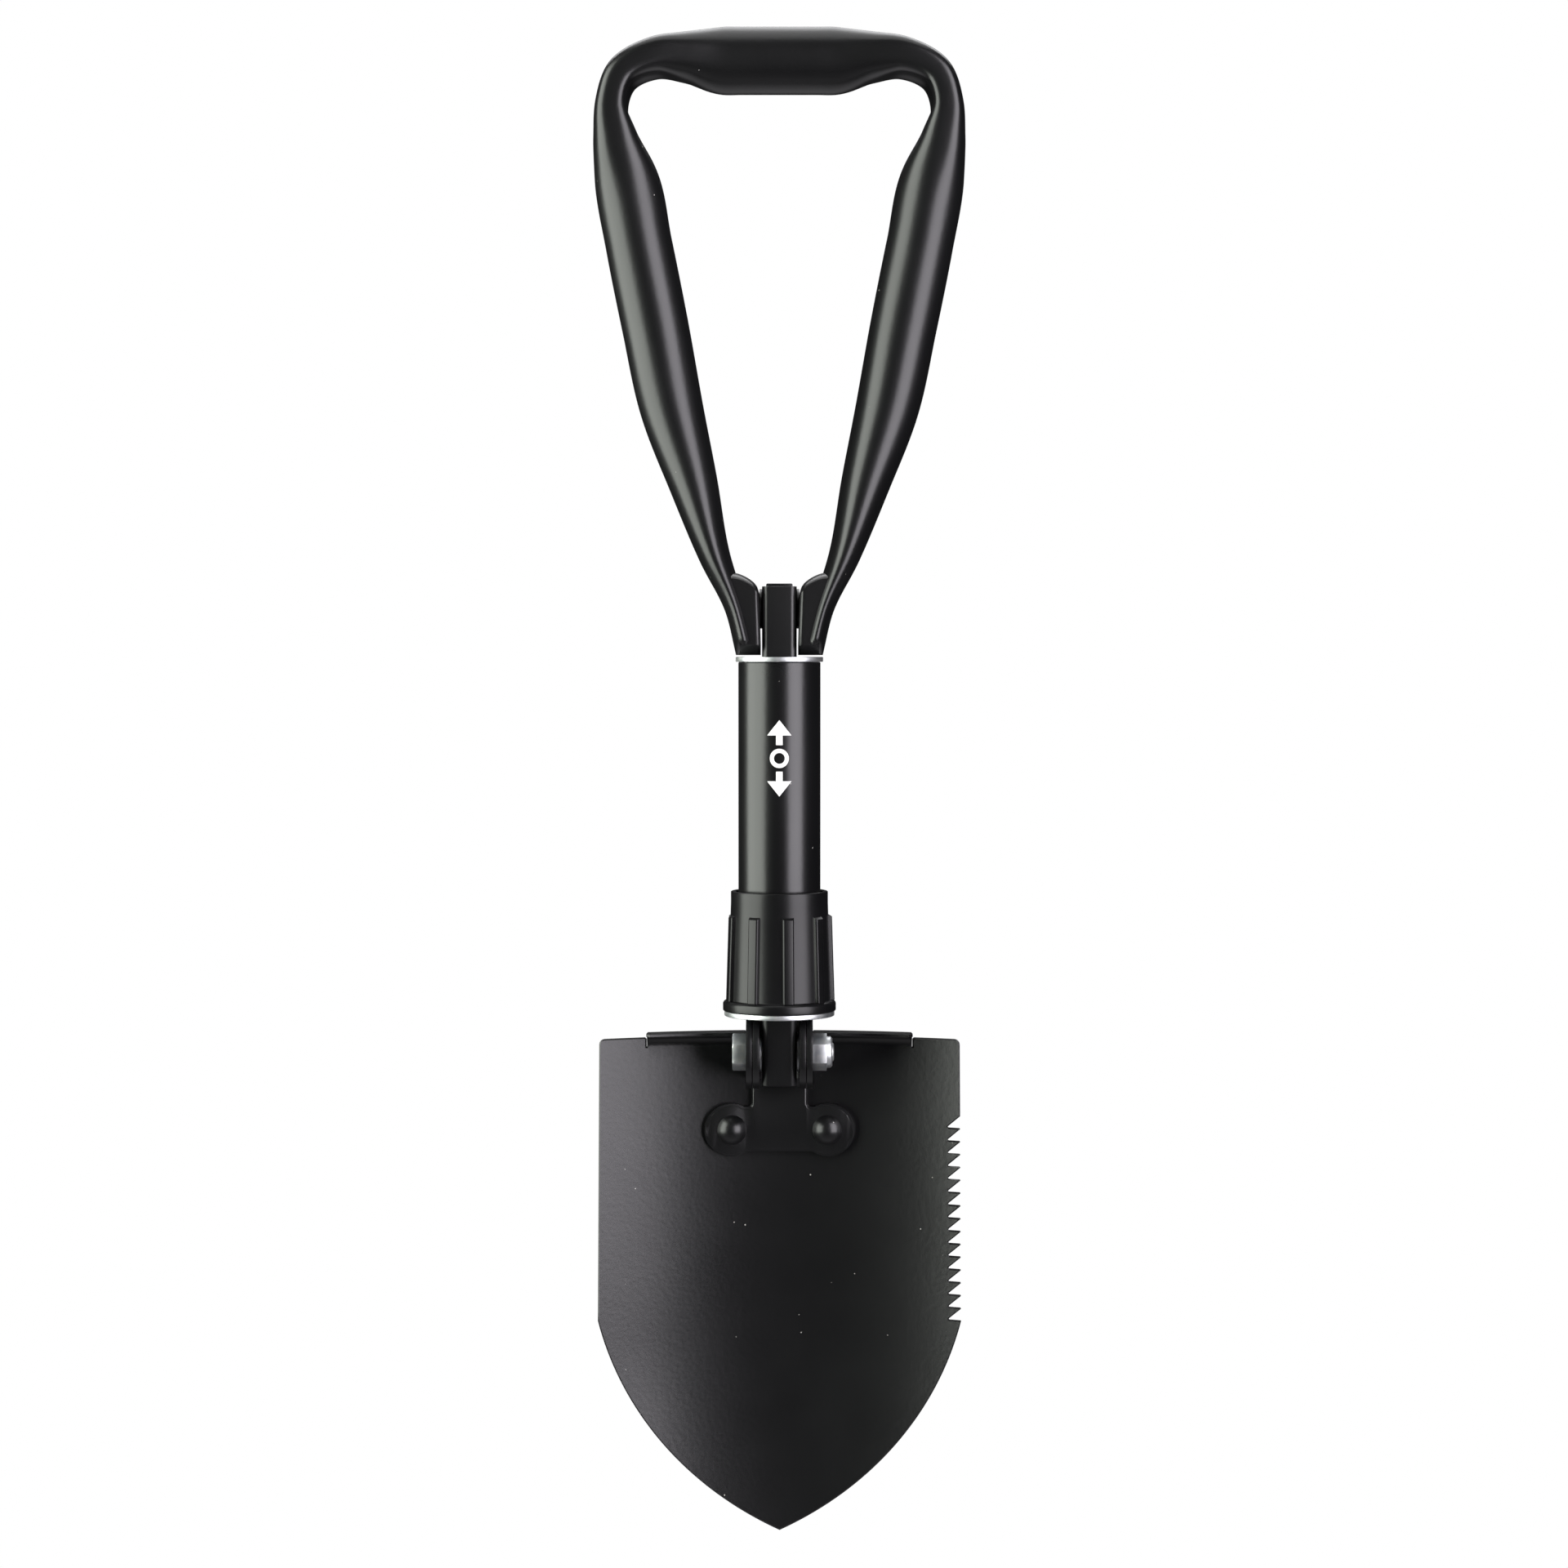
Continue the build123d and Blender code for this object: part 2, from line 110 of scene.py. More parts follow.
def powderCoat(name, dark, light, rough, peelDepth, dustShare):
    # Powder coat on steel, sprayed and baked: a soft satin black whose lights break up
    # on a fine orange peel, with a few specks of dust lying on it
    material, tree = newMaterial(name)
    place = addNode(tree, "ShaderNodeTexCoord").outputs["Object"]
    cloud = addNode(tree, "ShaderNodeTexNoise",
                    {"Scale": 1 / coatLook["cloudSize"], "Detail": 3.0, "Roughness": 0.55}, {"Vector": place})
    peel = addNode(tree, "ShaderNodeTexNoise",
                   {"Scale": 1 / coatLook["peelSize"], "Detail": 1.5, "Roughness": 0.45}, {"Vector": place})
    grain = addNode(tree, "ShaderNodeTexNoise",
                    {"Scale": 1 / coatLook["grainSize"], "Detail": 2.0, "Roughness": 0.6}, {"Vector": place})
    dust = addNode(tree, "ShaderNodeTexVoronoi", {"Scale": 1 / coatLook["dustSpacing"]}, {"Vector": place})
    chance = addNode(tree, "ShaderNodeSeparateColor", links={"Color": dust.outputs["Color"]})
    chosen = addNode(tree, "ShaderNodeMath", {"operation": "GREATER_THAN", 1: 1 - dustShare},
                     {0: chance.outputs[0]})
    smallest, largest = coatLook["speckSizes"]
    size = addNode(tree, "ShaderNodeMapRange", {"To Min": smallest, "To Max": largest},
                   {"Value": chance.outputs[1]})
    near = addNode(tree, "ShaderNodeMath", {"operation": "LESS_THAN"},
                   {0: dust.outputs["Distance"], 1: size.outputs[0]})
    speck = addNode(tree, "ShaderNodeMath", {"operation": "MULTIPLY"},
                    {0: near.outputs[0], 1: chosen.outputs[0]})
    shade = addNode(tree, "ShaderNodeMix", {"data_type": "RGBA", 6: hexColour(dark), 7: hexColour(light)},
                    {0: cloud.outputs[0]})
    colour = addNode(tree, "ShaderNodeMix", {"data_type": "RGBA", 7: hexColour(coatLook["dustColour"])},
                     {0: speck.outputs[0], 6: shade.outputs[2]})
    gloss = addNode(tree, "ShaderNodeMapRange", {"To Min": rough - 0.03, "To Max": rough + 0.04},
                    {"Value": cloud.outputs[0]})
    height = addNode(tree, "ShaderNodeMath", {"operation": "MULTIPLY_ADD", 1: coatLook["grainShare"]},
                     {0: grain.outputs[0], 2: peel.outputs[0]})
    bump = addNode(tree, "ShaderNodeBump", {"Strength": 1.0, "Distance": peelDepth},
                   {"Height": height.outputs[0]})
    coat = addNode(tree, "ShaderNodeBsdfPrincipled", {"IOR": 1.5},
                   {"Base Color": colour.outputs[2], "Roughness": gloss.outputs[0],
                    "Normal": bump.outputs[0]})
    finishMaterial(tree, coat)
    return material


zincLook = {"cloudSize": 2.6 * mm, "grainSize": 0.28 * mm, "grainDepth": 0.012 * mm}


def zincPlate():
    # Bright zinc plate on turned steel: near white with a cold cast, a little cloudy
    # over a fine grain
    material, tree = newMaterial("zinc plated steel, clear passivated")
    place = addNode(tree, "ShaderNodeTexCoord").outputs["Object"]
    cloud = addNode(tree, "ShaderNodeTexNoise",
                    {"Scale": 1 / zincLook["cloudSize"], "Detail": 4.0, "Roughness": 0.6}, {"Vector": place})
    grain = addNode(tree, "ShaderNodeTexNoise", {"Scale": 1 / zincLook["grainSize"], "Detail": 2.0},
                    {"Vector": place})
    colour = addNode(tree, "ShaderNodeMix",
                     {"data_type": "RGBA", 6: hexColour("c3ccd6"), 7: hexColour("e9e7e0")},
                     {0: cloud.outputs[0]})
    gloss = addNode(tree, "ShaderNodeMapRange", {"To Min": 0.3, "To Max": 0.52}, {"Value": cloud.outputs[0]})
    bump = addNode(tree, "ShaderNodeBump", {"Strength": 0.5, "Distance": zincLook["grainDepth"]},
                   {"Height": grain.outputs[0]})
    metal = addNode(tree, "ShaderNodeBsdfPrincipled", {"Metallic": 1.0},
                    {"Base Color": colour.outputs[2], "Roughness": gloss.outputs[0],
                     "Normal": bump.outputs[0]})
    finishMaterial(tree, metal)
    return material


nylonLook = {"cloudSize": 9 * mm, "sparkSize": 0.3 * mm, "sparkDepth": 0.007 * mm}


def mouldedNylon():
    # Glass filled nylon, moulded in a spark eroded tool: an even satin black with a fine
    # dry texture, its lights dimmer than those on the coat beside it
    material, tree = newMaterial("glass filled nylon, moulded black")
    place = addNode(tree, "ShaderNodeTexCoord").outputs["Object"]
    cloud = addNode(tree, "ShaderNodeTexNoise", {"Scale": 1 / nylonLook["cloudSize"], "Detail": 4.0},
                    {"Vector": place})
    spark = addNode(tree, "ShaderNodeTexVoronoi",
                    {"Scale": 1 / nylonLook["sparkSize"], "feature": "SMOOTH_F1"}, {"Vector": place})
    colour = addNode(tree, "ShaderNodeMix",
                     {"data_type": "RGBA", 6: hexColour("0a0a0b"), 7: hexColour("101011")},
                     {0: cloud.outputs[0]})
    gloss = addNode(tree, "ShaderNodeMapRange", {"To Min": 0.27, "To Max": 0.34}, {"Value": cloud.outputs[0]})
    bump = addNode(tree, "ShaderNodeBump", {"Strength": 0.6, "Distance": nylonLook["sparkDepth"]},
                   {"Height": spark.outputs[0]})
    plastic = addNode(tree, "ShaderNodeBsdfPrincipled", {"IOR": 1.38},
                      {"Base Color": colour.outputs[2], "Roughness": gloss.outputs[0],
                       "Normal": bump.outputs[0]})
    finishMaterial(tree, plastic)
    return material


ringLook = {"cloudSize": 1.2 * mm, "cloudDepth": 0.02 * mm}


def naturalNylon():
    # Natural nylon ring, turned: milky and waxy
    material, tree = newMaterial("natural nylon, turned")
    place = addNode(tree, "ShaderNodeTexCoord").outputs["Object"]
    cloud = addNode(tree, "ShaderNodeTexNoise", {"Scale": 1 / ringLook["cloudSize"], "Detail": 3.0},
                    {"Vector": place})
    colour = addNode(tree, "ShaderNodeMix",
                     {"data_type": "RGBA", 6: hexColour("cdd6de"), 7: hexColour("e6e9ea")},
                     {0: cloud.outputs[0]})
    bump = addNode(tree, "ShaderNodeBump", {"Strength": 0.4, "Distance": ringLook["cloudDepth"]},
                   {"Height": cloud.outputs[0]})
    plastic = addNode(tree, "ShaderNodeBsdfPrincipled",
                      {"Roughness": 0.42, "IOR": 1.53, "Subsurface Weight": 0.15},
                      {"Base Color": colour.outputs[2], "Normal": bump.outputs[0]})
    finishMaterial(tree, plastic)
    return material


def whiteInk():
    # Screen printed ink: flat white, a little thin where the coat's peel dips
    material, tree = newMaterial("white ink, screen printed")
    place = addNode(tree, "ShaderNodeTexCoord").outputs["Object"]
    peel = addNode(tree, "ShaderNodeTexNoise", {"Scale": 1 / coatLook["peelSize"], "Detail": 3.0},
                   {"Vector": place})
    colour = addNode(tree, "ShaderNodeMix",
                     {"data_type": "RGBA", 6: hexColour("e4e4e2"), 7: hexColour("fbfbf9")},
                     {0: peel.outputs[0]})
    bump = addNode(tree, "ShaderNodeBump", {"Strength": 0.4, "Distance": 0.01 * mm},
                   {"Height": peel.outputs[0]})
    ink = addNode(tree, "ShaderNodeBsdfPrincipled", {"Roughness": 0.55, "IOR": 1.48},
                  {"Base Color": colour.outputs[2], "Normal": bump.outputs[0]})
    finishMaterial(tree, ink)
    return material


tubeCoat = powderCoat("powder coated steel tube, satin black", "0a0a0b", "0f0f10", 0.28, 0.018 * mm, 0.14)
handleCoat = powderCoat("powder coated bent tube, satin black", "0a0a0b", "0f0f10", 0.32, 0.022 * mm, 0.14)
bladeCoat = powderCoat("powder coated pressed sheet, satin black", "0a0a0b", "0f0f10", 0.31, 0.03 * mm, 0.22)
bracketCoat = powderCoat("powder coated pressed bracket, satin black", "0a0a0b", "111112", 0.31, 0.02 * mm,
                         0.12)
barCoat = powderCoat("powder coated drawn bar, satin black", "0a0a0b", "101011", 0.33, 0.02 * mm, 0.16)
zinc = zincPlate()
collarNylon = mouldedNylon()
ringNylon = naturalNylon()
ink = whiteInk()
print("materials made")


# Mesh helpers

def newPiece(name, bm, body, nodes, material, smoothAngle=35):
    mesh = bpy.data.meshes.new(name)
    bm.to_mesh(mesh)
    bm.free()
    mesh.shade_smooth()
    mesh.set_sharp_from_angle(angle=radians(smoothAngle))
    piece = bpy.data.objects.new(name, mesh)
    bpy.context.scene.collection.objects.link(piece)
    mesh.materials.append(material)
    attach(piece, body)
    if nodes:
        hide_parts(*nodes)


def sharpEdges(bm, angle):
    return [e for e in bm.edges if len(e.link_faces) == 2 and e.calc_face_angle(0) > radians(angle)]


def roundEdges(bm, edges, width, segments=2):
    bmesh.ops.bevel(bm, geom=edges, offset=width, offset_type="OFFSET", affect="EDGES", segments=segments,
                    profile=0.5, material=-1, clamp_overlap=True)


def outwards(bm):
    bmesh.ops.remove_doubles(bm, verts=bm.verts[:], dist=weld)
    bmesh.ops.recalc_face_normals(bm, faces=bm.faces[:])


def turned(bm, profile, steps):  # a closed profile of (radius, height) pairs spun about Z
    ring = [bm.verts.new((r, 0, z)) for r, z in profile]
    edges = [bm.edges.new(pair) for pair in zip(ring, ring[1:] + ring[:1])]
    bmesh.ops.spin(bm, geom=ring + edges, cent=(0, 0, 0), axis=(0, 0, 1), angle=2 * pi, steps=steps,
                   use_merge=True, use_duplicate=False)
    outwards(bm)


cadCopy = {"merge": 0.002 * mm, "flat": radians(0.6)}


def mergedCopy(node):  # the CAD node's triangles, joined up and with flat faces made whole
    bm = bmesh.new()
    bm.from_mesh(frame["nodes"][node].data)
    bmesh.ops.remove_doubles(bm, verts=bm.verts[:], dist=cadCopy["merge"])
    bmesh.ops.dissolve_degenerate(bm, edges=bm.edges[:], dist=cadCopy["merge"])
    bmesh.ops.dissolve_limit(bm, angle_limit=cadCopy["flat"], verts=bm.verts[:], edges=bm.edges[:],
                             use_dissolve_boundaries=False, delimit=set())
    return bm


# Sleeve, turned with its rim rounded over

sleeveLow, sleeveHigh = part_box("sleeve_tube")
sleeve = {"wall": 1.5 * mm, "rim": 0.4 * mm, "steps": 128}
sleeveRadius = sleeveHigh.x


def makeSleeve():
    inner = sleeveRadius - sleeve["wall"]
    bm = bmesh.new()
    turned(bm, [(sleeveRadius, sleeveLow.z), (sleeveRadius, sleeveHigh.z),
                (inner, sleeveHigh.z), (inner, sleeveLow.z)], sleeve["steps"])
    roundEdges(bm, sharpEdges(bm, 60), sleeve["rim"], 3)
    newPiece("sleeve", bm, "sleeve", ["sleeve_tube"], tubeCoat)


# Printed mark: a ring between two plain arrows, because the collar frees the slide inside

mark = {"height": 23 * mm, "middle": 5.9 * mm, "stem": 2.0 * mm, "head": 7.4 * mm, "headLength": 4.6 * mm,
        "gap": 1.1 * mm, "film": 0.03 * mm, "ring": 2.9 * mm, "band": 1.25 * mm, "strip": 0.4 * mm}


def makeMark():
    tip, headHalf, stemHalf = mark["height"] / 2, mark["head"] / 2, mark["stem"] / 2
    barb = tip - mark["headLength"]
    foot = mark["ring"] + mark["gap"]
    bm = bmesh.new()
    for end in (1, -1):
        points = [(-headHalf, barb), (0, tip), (headHalf, barb), (stemHalf, barb), (stemHalf, foot),
                  (-stemHalf, foot), (-stemHalf, barb)]
        bm.faces.new([bm.verts.new((x, 0, end * z)) for x, z in points])
    bmesh.ops.create_circle(bm, cap_ends=True, radius=mark["ring"], segments=48,
                            matrix=Matrix.Rotation(pi / 2, 4, "X"))
    disc = max(bm.faces, key=lambda f: len(f.verts))
    bmesh.ops.inset_region(bm, faces=[disc], thickness=mark["band"], use_even_offset=True, use_boundary=True)
    bmesh.ops.delete(bm, geom=[disc], context="FACES_ONLY")
    strips = int(headHalf / mark["strip"])
    for i in range(-strips, strips + 1):  # narrow strips, so that it follows the tube
        bmesh.ops.bisect_plane(bm, geom=bm.verts[:] + bm.edges[:] + bm.faces[:], dist=0,
                               plane_co=(i * mark["strip"], 0, 0), plane_no=(1, 0, 0))
    radius = sleeveRadius + mark["film"]
    for v in bm.verts:
        turn = v.co.x / radius
        v.co = Vector((radius * sin(turn), -radius * cos(turn), v.co.z + mark["middle"]))
    bmesh.ops.recalc_face_normals(bm, faces=bm.faces[:])
    if sum(f.normal.y for f in bm.faces) > 0:
        bmesh.ops.reverse_faces(bm, faces=bm.faces[:])
    bmesh.ops.solidify(bm, geom=bm.faces[:], thickness=mark["film"] * 2)
    newPiece("printed_mark", bm, "sleeve", [], ink)


# Locking collar: a turned body with nine moulded ribs

collarLow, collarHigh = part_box("locking_collar")
collar = {
    "baseRadius": 15.75 * mm, "rimRadius": 14.8 * mm, "threadGap": 0.1 * mm, "round": 0.45 * mm, "steps": 180,
    "flangeRadius": 17.25 * mm, "flangeHeight": 3.2 * mm, "flangeIn": 0.8 * mm, "flangeDown": 0.7 * mm,
    "entryRadius": 13.3 * mm, "entryDepth": 3.5 * mm,
    "ribs": 9, "ribTurn": radians(10), "ribWidth": 3.4 * mm, "ribFace": 0.94, "ribFoot": 1.16,
    "ribProud": 1.1 * mm, "ribRoot": 0.8 * mm, "ribSink": 0.3 * mm, "ribTopGap": 6.8 * mm,
    "ribEdge": 0.4 * mm, "ribRound": 0.55 * mm,
}


def makeRib(ribLow, ribHigh, shoulder, flangeTop):  # a bar on the collar's taper, its top end sloped
    slope = (collar["baseRadius"] - collar["rimRadius"]) / (shoulder - flangeTop)
    bm = bmesh.new()
    for v in bmesh.ops.create_cube(bm, size=1)["verts"]:
        outer, upper = v.co.x > 0, v.co.z > 0
        z = ribHigh if upper else ribLow
        if outer and upper:
            z -= collar["ribProud"]
        wall = collar["rimRadius"] + slope * (shoulder - z)
        x = wall + (collar["ribProud"] if outer else -collar["ribRoot"])
        draft = collar["ribFace"] if outer else collar["ribFoot"]
        v.co = Vector((x, v.co.y * collar["ribWidth"] * draft, z))
    faceX = collar["baseRadius"] + collar["ribEdge"]  # edges that reach past this are rounded
    roundEdges(bm, [e for e in bm.edges if max(v.co.x for v in e.verts) > faceX], collar["ribRound"], 4)
    rib = bpy.data.meshes.new("rib")
    bm.to_mesh(rib)
    bm.free()
    return rib


def makeCollar():
    low, high = collarLow.z, collarHigh.z
    bore = sleeveRadius + collar["threadGap"]
    shoulder = high - collar["entryDepth"]
    flange, flangeTop = collar["flangeRadius"], low + collar["flangeHeight"]
    bm = bmesh.new()
    turned(bm, [(bore, low), (flange, low), (flange, flangeTop - collar["flangeDown"]),
                (flange - collar["flangeIn"], flangeTop), (collar["baseRadius"], flangeTop),
                (collar["rimRadius"], shoulder), (collar["rimRadius"], high), (collar["entryRadius"], high),
                (collar["entryRadius"], shoulder), (bore, shoulder)], collar["steps"])
    roundEdges(bm, sharpEdges(bm, 25), collar["round"], 3)
    rib = makeRib(flangeTop - collar["ribSink"], high - collar["ribTopGap"], shoulder, flangeTop)
    turn = -pi / 2 + collar["ribTurn"]
    for i in range(collar["ribs"]):  # the mesh itself turns on by one place each time
        rib.transform(Matrix.Rotation(turn, 4, "Z"))
        bm.from_mesh(rib)
        turn = 2 * pi / collar["ribs"]
    bmesh.ops.recalc_face_normals(bm, faces=bm.faces[:])
    newPiece("collar", bm, "collar", ["locking_collar"], collarNylon, 40)


# Handle loop. Each station is x, height above the pin, size in the loop's plane, size front
# to back, squareness of the section and how far its inner side is pressed in, in mm

gripHeight = 165.3
halfWidth = 56.7
tubeSize = 20.2
handleStations = [
    (0.0, gripHeight, tubeSize, tubeSize, 2.0, 0.0),
    (halfWidth - 45, gripHeight, tubeSize, tubeSize, 2.0, 0.0),
    (halfWidth - 40, gripHeight, tubeSize, tubeSize, 2.0, 0.0),
    (halfWidth - 29, gripHeight + 0.9, 15.2, 22.0, 2.5, 0.3),
    (halfWidth - 19, gripHeight + 0.6, 11.6, 23.6, 3.3, 1.4),
    (halfWidth - 9.4, gripHeight - 4.6, 10.2, 24.0, 3.8, 2.2),
    (halfWidth - 6.4, gripHeight - 13.5, 10.4, 24.0, 3.8, 2.2),
    (halfWidth - 7.5, gripHeight - 23, 14.2, 23.0, 3.0, 1.0),
    (halfWidth - 10.3, gripHeight - 35, 19.2, 20.8, 2.2, 0.0),
    (halfWidth - 14.2, gripHeight - 55.3, tubeSize, tubeSize, 2.0, 0.0),
    (37.6, 85.4, tubeSize, tubeSize, 2.0, 0.0),
    (32.7, 60.8, 19.2, 21.0, 2.0, 0.0),
    (26.25, 38.4, 15.0, 22.0, 2.1, 0.0),
    (19.7, 16.0, 9.6, 21.8, 2.1, 0.0),
    (13.3, 0.0, 6.6, 21.6, 2.0, 0.0),
    (9.75, -14.05, 6.9, 21.2, 2.0, 0.0),
]
handle = {
    "segments": 72, "step": 1.1, "pressSpread": 0.3,
    "wall": 1.2, "rim": 0.3, "hollow": 5.0,  # the tube's open end
    "nose": 14.5, "flat": 14.05,             # the tab's end, an arc cut flat
}


def smoothRows(rows, step):  # points on a smooth line through the rows, about a step apart
    knots = [0.0]
    for a, b in zip(rows, rows[1:]):
        knots.append(knots[-1] + hypot(b[0] - a[0], b[1] - a[1]))
    slopes = []
    for i in range(len(rows)):
        j, k = max(i - 1, 0), min(i + 1, len(rows) - 1)
        if 0 < i < len(rows) - 1:
            left, right = knots[i] - knots[j], knots[k] - knots[i]
            slopes.append([((c - b) / right * left + (b - a) / left * right) / (left + right)
                           for a, b, c in zip(rows[j], rows[i], rows[k])])
        else:
            slopes.append([(c - a) / (knots[k] - knots[j]) for a, c in zip(rows[j], rows[k])])
    out = []
    for i in range(len(rows) - 1):
        span = knots[i + 1] - knots[i]
        count = max(2, round(span / step))
        for n in range(count + (i == len(rows) - 2)):
            t = n / count
            a, b = (1 + 2 * t) * (1 - t) ** 2, t * t * (3 - 2 * t)
            c, d = t * (1 - t) ** 2 * span, -t * t * (1 - t) * span
            out.append([a * p + b * q + c * u + d * v
                        for p, q, u, v in zip(rows[i], rows[i + 1], slopes[i], slopes[i + 1])])
    return out


def tabEnd(y):  # how far below the pin the tab ends, at a depth y
    return min(handle["flat"], sqrt(handle["nose"] ** 2 - y * y))


def handleRing(verts, angle, row, tangent, inset=0.0, lift=0.0):
    x, z, press, depth, square, kidney = row
    if z < 0:  # below the pin the tab follows the nose and comes upright
        depth = min(depth, 2 * sqrt(handle["nose"] ** 2 - z * z))
        upright = 1 - z / handleStations[-1][1]
        tangent = (tangent[0] * upright, -sqrt(1 - (tangent[0] * upright) ** 2))
    for v in verts:
        c, s = cos(v[angle]), sin(v[angle])
        across = (press / 2 - inset) * abs(c) ** (2 / square) * (1 if c > 0 else -1)
        along = (depth / 2 - inset) * abs(s) ** (2 / square) * (1 if s > 0 else -1)
        if across < 0:
            across += kidney * exp(-(along / (handle["pressSpread"] * depth)) ** 2)
        v.co = Vector((x - tangent[1] * across, along, z + tangent[0] * across + lift)) * mm
        v.co.z += pinZ


def rowTangents(rows):  # the way the line runs at each row, level at the middle of the grip
    tangents = [(1, 0)]
    for i in range(1, len(rows)):
        a, b = rows[i - 1], rows[min(i + 1, len(rows) - 1)]
        run = hypot(b[0] - a[0], b[1] - a[1])
        tangents.append(((b[0] - a[0]) / run, (b[1] - a[1]) / run))
    return tangents


def addHalfLoop(bm, angle):  # from the middle of the grip down to the right tab's open end
    rows = smoothRows(handleStations, handle["step"])
    tangents = rowTangents(rows)
    ring = bmesh.ops.create_circle(bm, segments=handle["segments"], radius=1)["verts"]
    for v in ring:
        v[angle] = atan2(v.co.y, v.co.x)
    handleRing(ring, angle, rows[0], tangents[0])
    edges = bm.edges[:]

    def carry(row, tangent, inset=0.0, lift=0.0):
        grown = bmesh.ops.extrude_edge_only(bm, edges=edges)["geom"]
        edges[:] = [g for g in grown if isinstance(g, bmesh.types.BMEdge)]
        verts = [g for g in grown if isinstance(g, bmesh.types.BMVert)]
        handleRing(verts, angle, row, tangent, inset, lift)

    for row, tangent in zip(rows[1:], tangents[1:]):
        carry(row, tangent)
    for inset, lift in ((handle["rim"], 0.0), (handle["wall"], 0.0), (handle["wall"], handle["hollow"])):
        carry(rows[-1], tangents[-1], inset, lift)
    bmesh.ops.holes_fill(bm, edges=edges, sides=0)


tabPlate = {  # heights and drops from the pin
    "inner": 6.1, "outer": 12.0, "depth": 19.0, "rim": 2.0, "swing": 13.9,
    "rise": 5.6, "crown": 11.0, "crownPower": 0.7,    # top edge, beside the bar and at the far side
    "flare": 2.8, "flareRise": 10,                    # the far side spreads with height
    "lean": 0.4, "leanDrop": 6.5, "leanRun": 4,       # and the near side leans in below the pin
    "round": 0.8, "roundShare": 0.22, "roundTuck": 9,
    "steps": 12, "noseSteps": 24, "crownSteps": 8,
}


def placeTabPlate(verts, height, depth, top, share):  # share: 0 beside the bar, 1 at the far side
    crown = tabPlate["crown"] - tabPlate["rise"]
    rise = tabPlate["rise"] + crown * sin(share * pi / 2) ** tabPlate["crownPower"]
    nearBar = max(0, 1 - share / tabPlate["roundShare"])
    rounding = tabPlate["round"] * (1 - sqrt(1 - nearBar ** 2))
    for v in verts:
        z, y = v[height], v[depth]
        if v[top]:
            z = min(rise - tabPlate["rim"] + z, sqrt(tabPlate["swing"] ** 2 - y * y)) - rounding
        flare = tabPlate["flare"] * min(max(z / tabPlate["flareRise"], 0), 1)
        lean = tabPlate["lean"] * min(max((-z - tabPlate["leanDrop"]) / tabPlate["leanRun"], 0), 1)
        x = tabPlate["inner"] - lean + share * (tabPlate["outer"] + flare + lean - tabPlate["inner"])
        v.co = Vector((x * mm, y * (1 - rounding / tabPlate["roundTuck"]) * mm, z * mm + pinZ))


def addTabPlate(bm, height, depth, top):  # the plate inside the tab, its top edge rising away from the bar
    outline = []
    for i in range(tabPlate["noseSteps"] + 1):
        y = tabPlate["depth"] * (i / tabPlate["noseSteps"] - 0.5)
        outline.append((y, -tabEnd(y), False))
    for i in range(tabPlate["crownSteps"] + 1):
        a = pi * i / tabPlate["crownSteps"]
        outline.append((cos(a) * tabPlate["depth"] / 2, tabPlate["rim"] * sin(a), True))
    face = bm.faces.new([bm.verts.new((0, y * mm, z * mm)) for y, z, _ in outline])
    for v, (y, z, onTop) in zip(face.verts, outline):
        v[top], v[height], v[depth] = int(onTop), z, y
    placeTabPlate(face.verts, height, depth, top, 0)
    for n in range(1, tabPlate["steps"] + 1):
        made = bmesh.ops.extrude_face_region(bm, geom=[face])["geom"]
        if n > 1:
            bmesh.ops.delete(bm, geom=[face], context="FACES_ONLY")
        verts = [g for g in made if isinstance(g, bmesh.types.BMVert)]
        face = [g for g in made if isinstance(g, bmesh.types.BMFace)][0]
        placeTabPlate(verts, height, depth, top, n / tabPlate["steps"])


def makeHandle():
    bm = bmesh.new()
    for name in ("angle", "height", "depth"):
        bm.verts.layers.float.new(name)
    bm.verts.layers.int.new("top")
    angle, height, depth = (bm.verts.layers.float[name] for name in ("angle", "height", "depth"))
    top = bm.verts.layers.int["top"]
    addHalfLoop(bm, angle)
    addTabPlate(bm, height, depth, top)
    bmesh.ops.recalc_face_normals(bm, faces=bm.faces[:])
    bmesh.ops.mirror(bm, geom=bm.verts[:] + bm.edges[:] + bm.faces[:], matrix=Matrix.Identity(4),
                     merge_dist=0.001 * mm, axis="X")
    bmesh.ops.recalc_face_normals(bm, faces=bm.faces[:])
    newPiece("handle", bm, "handle", ["handle_loop"], handleCoat, 40)


# Blade: a flat outline, gridded, then dished, curled at the point and turned over at the top

blade = {
    "height": 155.2, "topHalf": 55.8, "shoulderHalf": 56.4, "shoulderDrop": 87.7, "pointRadius": 99.3,
    "sheet": 1.5, "dish": 140.0, "offset": 23.5, "abovePivot": 2.4, "corner": 1.6, "edge": 0.4,
    "curlDrop": 94.0, "curlRadius": 430.0, "notchHalf": 10.3, "notchDrop": 15.0,
    "lipHalf": 41.2, "lipDepth": 7.5, "lipHeight": 2.1, "lipBend": 3.5,
    "lipCornerIn": 1.2, "lipCornerDown": 1.6, "relief": 0.12, "reliefCorner": 0.5,
    "teeth": 16, "pitch": 4.0, "toothDepth": 3.9, "sawDrop": 23.9, "toothGap": 0.25, "tipBack": 0.15,
    "gullet": [(0.35, -0.55), (0.12, -0.2), (0.4, 0.0)],  # X and drop from the root of a tooth
    "cornerSteps": 4, "pointSteps": 36, "column": 2.9, "row": 4.1, "bendSteps": 7,
}
dishAxisY = blade["offset"] - blade["dish"]
bendDrop = blade["sheet"] + blade["lipBend"] - blade["lipHeight"]  # where the lip's bend begins
bendLength = pi / 2 * blade["lipBend"]


